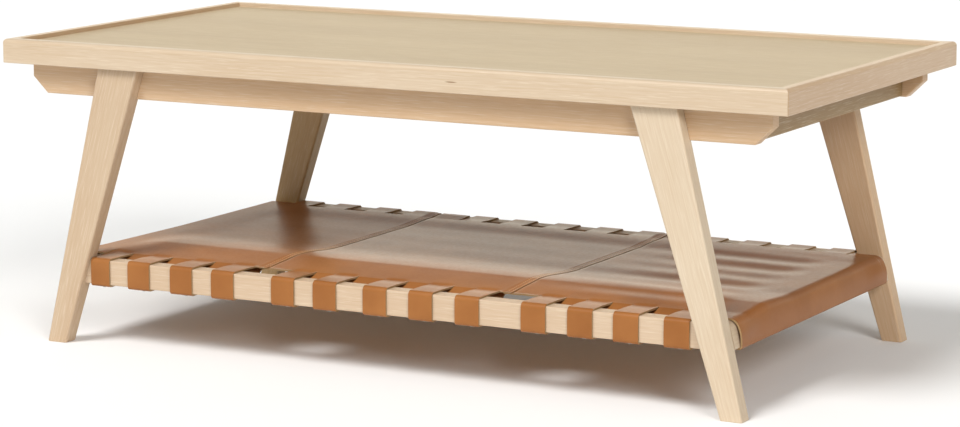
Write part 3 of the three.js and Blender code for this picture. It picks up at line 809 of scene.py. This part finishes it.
def leather_columns(left, right, tabs):
    """Places along the hide: sheet, both sides of every slit, the lines of a seam, and the end run where the
    panel has one."""
    half = tab_width / 2
    slits = [tab + side * cut for tab in tabs for side in (-1, 1) for cut in (half, half + slit_gap)]
    seams = [place for edge in (left_edge, right_edge) for place in lap_columns(edge) if left < place < right]
    wrap = end_flat_x + lengths_along(end_run)
    flat = filled([max(left, -end_flat_x), min(right, end_flat_x), *slits, *seams], grid_step)
    before = -wrap[:0:-1] if left < -end_flat_x else []
    after = wrap[1:] if right > end_flat_x else []
    return np.concatenate([before, flat, after])


def flap_rows(u, side, slit_y, count, random):
    """How far out each point of the flaps lies, in even steps from the slits. Beside a seam the front one is
    cut short and the back one lies on the rail. Every cut wanders a little."""
    reach = np.where(near_seam(u), seam_flap_back if side > 0 else seam_flap_front, sheet_half_y)
    places = np.arange(u.min(), u.max() + wander_step, wander_step)
    wander = np.interp(u, places, random.uniform(-1, 1, len(places)))
    reach = reach + edge_wander * wander * (np.abs(u) < end_flat_x)
    return slit_y + (reach - slit_y) * np.arange(1, count + 1)[:, None] / count


# %% [markdown]
# The grid starts as the sheet with its flaps and end wraps. Then the outer rows of each tab are taken off
# their flap and laid round the rail.

# %% A panel as one grid
tab_bulge = 0.5 * mm
root_crease = 1.1 * mm
crease_reach = 5.0 * mm
wrap_bulge = (1.0 * mm, 3.6 * mm)


def lay_tab(points, rows, columns, across, run, side, root, bulge):
    """Puts a tab's columns on the run round the rail: height fades from its root to the run within the
    bridge, and the face stands proud of the wood along half a sine wave."""
    along = lengths_along(run)[1:, None]
    bridge = rail_inner - run[0, 0]
    face_start = face_y - run[0, 0]
    on_face = np.sin(math.pi * ease((along - face_start) / (level - under_z))) * (1 - 0.5 * across**2)
    (depth, height), (out, up) = run[1:].T[..., None], outward(run)[1:].T[..., None] * bulge
    block = np.ix_(rows, columns)
    points[0][block] = points[0][rows[0] - side, columns]
    points[1][block] = side * (depth + out * on_face)
    points[2][block] = height + up * on_face + (1 - ease(along / bridge)) * (root - level)


def leather_grid(u, tabs, shifts, back_slit_y, lap_rise, seed):
    """Points of the flesh side over rows and columns, and the faces that are there. On an end wrap the sheet
    gives way to the run on the way down, and the leather stands off the wood as half a sine wave."""
    random = np.random.default_rng(seed)
    runs = {-1: tab_run(front_slit_y), 1: tab_run(back_slit_y)}
    front_rows, back_rows = len(runs[-1]) - 1, len(runs[1]) - 1
    main = np.linspace(-front_slit_y, back_slit_y, 2 * math.ceil(front_slit_y / grid_step) + 1)
    front = flap_rows(u, -1, front_slit_y, front_rows, random)
    back = flap_rows(u, 1, back_slit_y, back_rows, random)
    y = np.concatenate([-front[::-1], np.repeat(main[:, None], len(u), 1), back])
    beyond = np.clip(np.abs(u) - end_flat_x, 0, None)
    end_x, end_z, facing_x, facing_z = (np.interp(beyond, lengths_along(end_run), part)
                                        for part in (*end_run.T, *outward(end_run).T))
    x = np.where(beyond > 0, np.sign(u) * end_x, u) + 0 * y
    shifted = ease((np.abs(y) - abs(crest_y)) / (front_slit_y - abs(crest_y)))
    x += shifted * np.where(y < 0, shift_at(u, tabs, shifts[0]), shift_at(u, tabs, shifts[1]))
    down = np.clip((level - end_z) / (level - under_z), 0, 1)
    z = end_z + (1 - down) * sheet_rise(u + 0 * y, y, back_slit_y) + ripples(u, y) + lap_rise
    to_edge = ease((np.abs(y) / sheet_half_y - 0.7) / 0.3)
    bulge = (wrap_bulge[0] + (wrap_bulge[1] - wrap_bulge[0]) * to_edge) * np.sin(math.pi * down)
    x += np.sign(u) * facing_x * bulge
    z += facing_z * bulge
    for tab in tabs:
        inside = np.flatnonzero(np.abs(u - tab) < tab_width / 2 + slit_gap / 2)
        across = (u[inside] - tab) / (tab_width / 2)
        behind_slit = y[:, inside] > -front_slit_y - tolerance
        near_root = np.exp(-(((y + front_slit_y) / crease_reach) ** 2))[:, inside] * behind_slit
        z[:, inside] -= root_crease * near_root * (1 - across**4)
        for side, first in ((-1, front_rows), (1, len(y) - back_rows - 1)):
            rows = first + side * np.arange(1, len(runs[side]))
            bulge = tab_bulge * (1 + random.uniform(-0.4, 0.4))
            lay_tab((x, y, z), rows, inside, across, runs[side], side, z[first, inside], bulge)
    r, c = np.arange(len(y) - 1)[:, None], np.arange(len(u) - 1)[None, :]
    corner = r * len(u) + c
    faces = np.stack([corner, corner + 1, corner + len(u) + 1, corner + len(u)], -1)
    middle = (u[1:] + u[:-1]) / 2
    away = np.min(np.abs(middle[:, None] - np.array(tabs)), 1) - tab_width / 2
    in_slit = (away > 0) & (away < slit_gap)
    in_run = (r < front_rows) | (r >= len(y) - 1 - back_rows)
    return np.stack([x, y, z], -1), faces[~(in_run & in_slit)].tolist()


# %% [markdown]
# A hide has its name, the edges that it passes under and over, its tabs and their shifts, the depth of its
# back slits and its roughness, and its number seeds its pattern and cuts. Solidify grows the grid by the
# thickness of the leather to the grain side, the flesh side and the cut edges get their own materials, and a
# narrow bevel breaks the cut edges. The width, length and area of each panel's cut are printed.

# %% The three panels
edge_bevel = 0.35 * mm


def skive(panel, rows, share):
    """Gives each column of the grid its share of the thickness, as a weight that Solidify reads."""
    group = panel.vertex_groups.new(name="skived")
    grid = np.arange(rows * len(share)).reshape(rows, -1)
    group.add(grid.ravel().tolist(), 1.0, "REPLACE")
    for column in np.flatnonzero(share < 0.999):
        group.add(grid[:, column].tolist(), float(share[column]), "REPLACE")
    return group.name


def flat_size(u, tabs, back_slit_y):
    """Width and length of the cut, and its area without the slits and the places between tabs."""
    width = u[-1] - u[0]
    between_slits = front_slit_y + back_slit_y
    tab_lengths = sum(lengths_along(tab_run(slit_y))[-1] for slit_y in (front_slit_y, back_slit_y))
    flaps = width - len(tabs) * (tab_width + 2 * slit_gap)
    area = width * between_slits + len(tabs) * tab_width * tab_lengths
    area += flaps * (2 * sheet_half_y - between_slits)
    return width, between_slits + tab_lengths, area


hides = (
    ("left", None, left_edge, left_tabs, left_shifts, 54 * mm, (0.34, 0.4)),
    ("centre", left_edge, right_edge, centre_tabs, centre_shifts, 57 * mm, (0.29, 0.35)),
    ("right", right_edge, None, right_tabs, right_shifts, 47 * mm, (0.29, 0.35)),
)
for seed, (name, under, over, tabs, shifts, back_slit_inset, roughness) in enumerate(hides, 1):
    back_slit_y = rail_face - back_slit_inset
    left = -wrapped_x if under is None else under - lap_width
    u = leather_columns(left, wrapped_x if over is None else over, tabs)
    rise, share = laps(u, under, over)
    points, faces = leather_grid(u, tabs, shifts, back_slit_y, rise, seed)
    grain = tan_leather(f"tan_leather_{name}", (0.7 * seed, 0.4 * seed, 0.0), roughness)
    panel = new_piece(f"leather_{name}", points, faces, [grain, flesh_side, cut_edge], 60)
    shell = panel.modifiers.new("leather_thickness", "SOLIDIFY")
    shell.thickness = leather_thickness
    shell.offset = 1
    shell.use_even_offset = True
    shell.vertex_group = skive(panel, len(points), share)
    shell.material_offset = 1
    shell.material_offset_rim = 2
    eased = panel.modifiers.new("eased_edges", "BEVEL")
    eased.width = edge_bevel
    eased.segments = 2
    eased.limit_method = "ANGLE"
    eased.angle_limit = math.radians(60)
    even_shading(panel)
    stand_for(panel, "saddle_leather", f"leather_panel_{name}")
    width, length, area = flat_size(u, tabs, back_slit_y)
    print(name, "panel cut", round(width / mm), "x", round(length / mm), "mm,", round(area, 3), "m2")

# %% [markdown]
# The stitches are short: a waxed thread, 5 mm from hole to hole, pressed into its groove. It is 0.8 mm thick
# on the real seam and 1 mm here, so that it still shows. One stitch is a slim spindle whose radius follows
# the root of a sine, so it has only a few dozen faces, and its rings are moved to every place at once.

# %% Stitches along the seams
stitch_pitch = 5.2 * mm
stitch_length = 4.2 * mm
stitch_margin = 6.0 * mm
thread_radius = 0.5 * mm
thread_lift = 0.1 * mm
seam_back_slit = rail_face - 55 * mm


def repeated(name, rings, places, material, slot, smooth_below):
    """The same closed shape at every place, as one mesh: the faces of each copy count on from those of the
    last."""
    size = rings.shape[0] * rings.shape[1]
    copies = rings[None] + np.asarray(places)[:, None, None]
    starts = range(0, len(places) * size, size)
    faces = [[i + start for i in face] for start in starts for face in skin(rings)]
    stand_for(new_piece(name, copies, faces, [material], smooth_below), slot)
    print(name, "at", len(places), "places")


def spindle(rings=6, around=6, tip=0.12):
    """Rings along Y whose radius is thread_radius * sqrt(sin t), with t from tip to pi - tip."""
    t = np.linspace(tip, math.pi - tip, rings)[:, None]
    a = np.arange(around)[None, ::-1] * 2 * math.pi / around
    radius = thread_radius * np.sqrt(np.sin(t))
    return np.stack([radius * np.cos(a), -stitch_length / 2 * np.cos(t) + 0 * a, radius * np.sin(a)], -1)


for name, edge in (("stitches_left", left_edge), ("stitches_right", right_edge)):
    along_seam = np.arange(stitch_margin - front_slit_y, front_slit_y, stitch_pitch)
    x = np.repeat(edge - np.array(stitch_rows), len(along_seam))
    y = np.tile(along_seam, len(stitch_rows))
    rise, share = laps(x, over=edge)
    z = level + leather_thickness * share + sheet_rise(x, y, seam_back_slit) + ripples(x, y) + rise
    places = np.column_stack([x, y, z + thread_lift])
    repeated(name, spindle(), places, seam_thread, "saddle_leather", 80)

# %% [markdown]
# Under the rails each tab is held by a flat washer and a pan-head screw, and each end wrap by five of them.
# They are turned parts: a profile of radius and height, in millimetres, swept once round. The heads point
# at the floor and are closed, as a driver's recess would be 2 mm wide.

# %% Screws that hold the tabs
head_profile = [(0, -2.9), (1.6, -2.8), (3.0, -2.2), (3.6, -1.2), (3.7, -0.8)]
washer_profile = [(6.0, -0.8), (6.0, 0), (0.1, 0)]
screw_inset = 12.0 * mm
end_screw_reach = 200.0 * mm
washer_gap = 0.05 * mm
least_radius = 0.05 * mm
screw_z = under_z - leather_thickness - washer_gap


def turned(profile, around=20):
    """Rings of a turned part: each radius and height of the profile, all the way round."""
    radius, height = np.array(profile).T[:, :, None] * mm
    a = np.arange(around)[None, :] * 2 * math.pi / around
    radius = np.maximum(radius, least_radius)
    return np.stack([radius * np.cos(a), radius * np.sin(a), height + 0 * a], -1)


all_tabs = np.concatenate([left_tabs, centre_tabs, right_tabs])
all_shifts = np.concatenate([left_shifts, centre_shifts, right_shifts], 1)
tab_screws = [(x + shift, side * (rail_face - screw_inset), screw_z)
              for side, shifts in zip((-1, 1), all_shifts) for x, shift in zip(all_tabs, shifts)]
end_screws = [(side * (wrap_low_x - screw_inset), y, screw_z)
              for y in np.linspace(-end_screw_reach, end_screw_reach, 5) for side in (-1, 1)]
for name, places in (("tab_screws", tab_screws), ("end_wrap_screws", end_screws)):
    repeated(name, turned(head_profile + washer_profile), places, zinc, "zinc_steel", 30)

# %% [markdown]
# ## Studio
# The table stands on a plain pale floor in a white room. Two wide soft lights are far away, so they are as
# strong on the floor as on the table: the main one is high in front and a little to the left, and a weaker
# one stands lower on the right. Their heights were read from the soft edge of the shadow that the tray
# throws on the legs, and from how dark the shaded boards are. Each light has its name, the place it shines
# from and its strength, and light_width is the angle of both in the sky, in degrees.
#
# Behind the table, to the left, the room ends in a bright cream wall, which the leather mirrors. The ceiling
# and the other sides are dimmer.

# %% Floor and lights
floor_half = 15.0
light_width = 23
lights = (("main_light", (-0.9, -3.0, 4.1), 2.3), ("side_light", (3.2, -2.8, 2.3), 1.5))

paint, tree, point = new_material("matt_floor_paint")
cloud = add(tree, "TexNoise", {"Vector": point, "Scale": 1.5})
shade = add(tree, "MixRGB", {"Fac": cloud, "Color1": colour("#f9f9f8"), "Color2": colour("#fbfbfa")})
finish_material(tree, {"Base Color": shade, "Roughness": 0.8})
floor_corners = [(floor_half * x, floor_half * y, 0) for x, y in ((-1, -1), (1, -1), (1, 1), (-1, 1))]
floor = new_piece("studio_floor", floor_corners, [(0, 1, 2, 3)], [paint])
for name, origin, strength in lights:
    data = bpy.data.lights.new(name, "SUN")
    data.angle = math.radians(light_width)
    data.energy = strength
    light = new_object(name, data)
    x, y, z = origin
    light.location = origin
    light.rotation_euler = (math.atan2(math.hypot(x, y), z), 0, math.atan2(y, x) + math.pi / 2)
    print(name, "from", origin, "strength", strength)

# %% [markdown]
# The room is the world's light by direction. The wall fades in with the cosine between a direction and the
# middle of the wall, it is brighter a little above the horizon, and the ceiling takes over higher up.

# %% White room
wall_light = 1.9
wall_top_light = 2.7
ceiling_light = 0.3
camera_side_light = 0.12
wall_way = (-0.47, 0.88, 0)
wall_sides = {"From Min": 0.58, "From Max": 0.82}
brighter_above = {"From Min": 0.13, "From Max": 0.18}
ceiling_above = {"From Min": 0.205, "From Max": 0.25}

world = bpy.data.worlds.new("white_room")
world.use_nodes = True
room = world.node_tree
sky = add(room, "TexCoord", output="Generated")
up = add(room, "SeparateXYZ", {"Vector": sky}, "Z")
towards_wall = add(room, "VectorMath", {0: sky, 1: wall_way}, "Value", operation="DOT_PRODUCT")
behind = add(room, "MapRange", {
    "Value": towards_wall, **wall_sides, "To Min": camera_side_light, "To Max": wall_light,
}, interpolation_type="SMOOTHSTEP")
rising = add(room, "MapRange", {
    "Value": up, **brighter_above, "To Min": 1.0, "To Max": wall_top_light / wall_light,
}, interpolation_type="SMOOTHSTEP")
wall = add(room, "Math", {0: behind, 1: rising}, operation="MULTIPLY")
above = add(room, "MapRange", {"Value": up, **ceiling_above}, interpolation_type="SMOOTHSTEP")
brightness = add(room, "MapRange", {"Value": above, "To Min": wall, "To Max": ceiling_light})
tint = add(room, "MixRGB", {"Fac": above, "Color1": colour("#fffbe9"), "Color2": colour("#fdfdfd")})
background = room.nodes["Background"].inputs
room.links.new(brightness, background["Strength"])
room.links.new(tint, background["Color"])
scene.world = world
scene.view_settings.view_transform = "Standard"
print("wall light", wall_light, "to", wall_top_light, "ceiling light", ceiling_light)
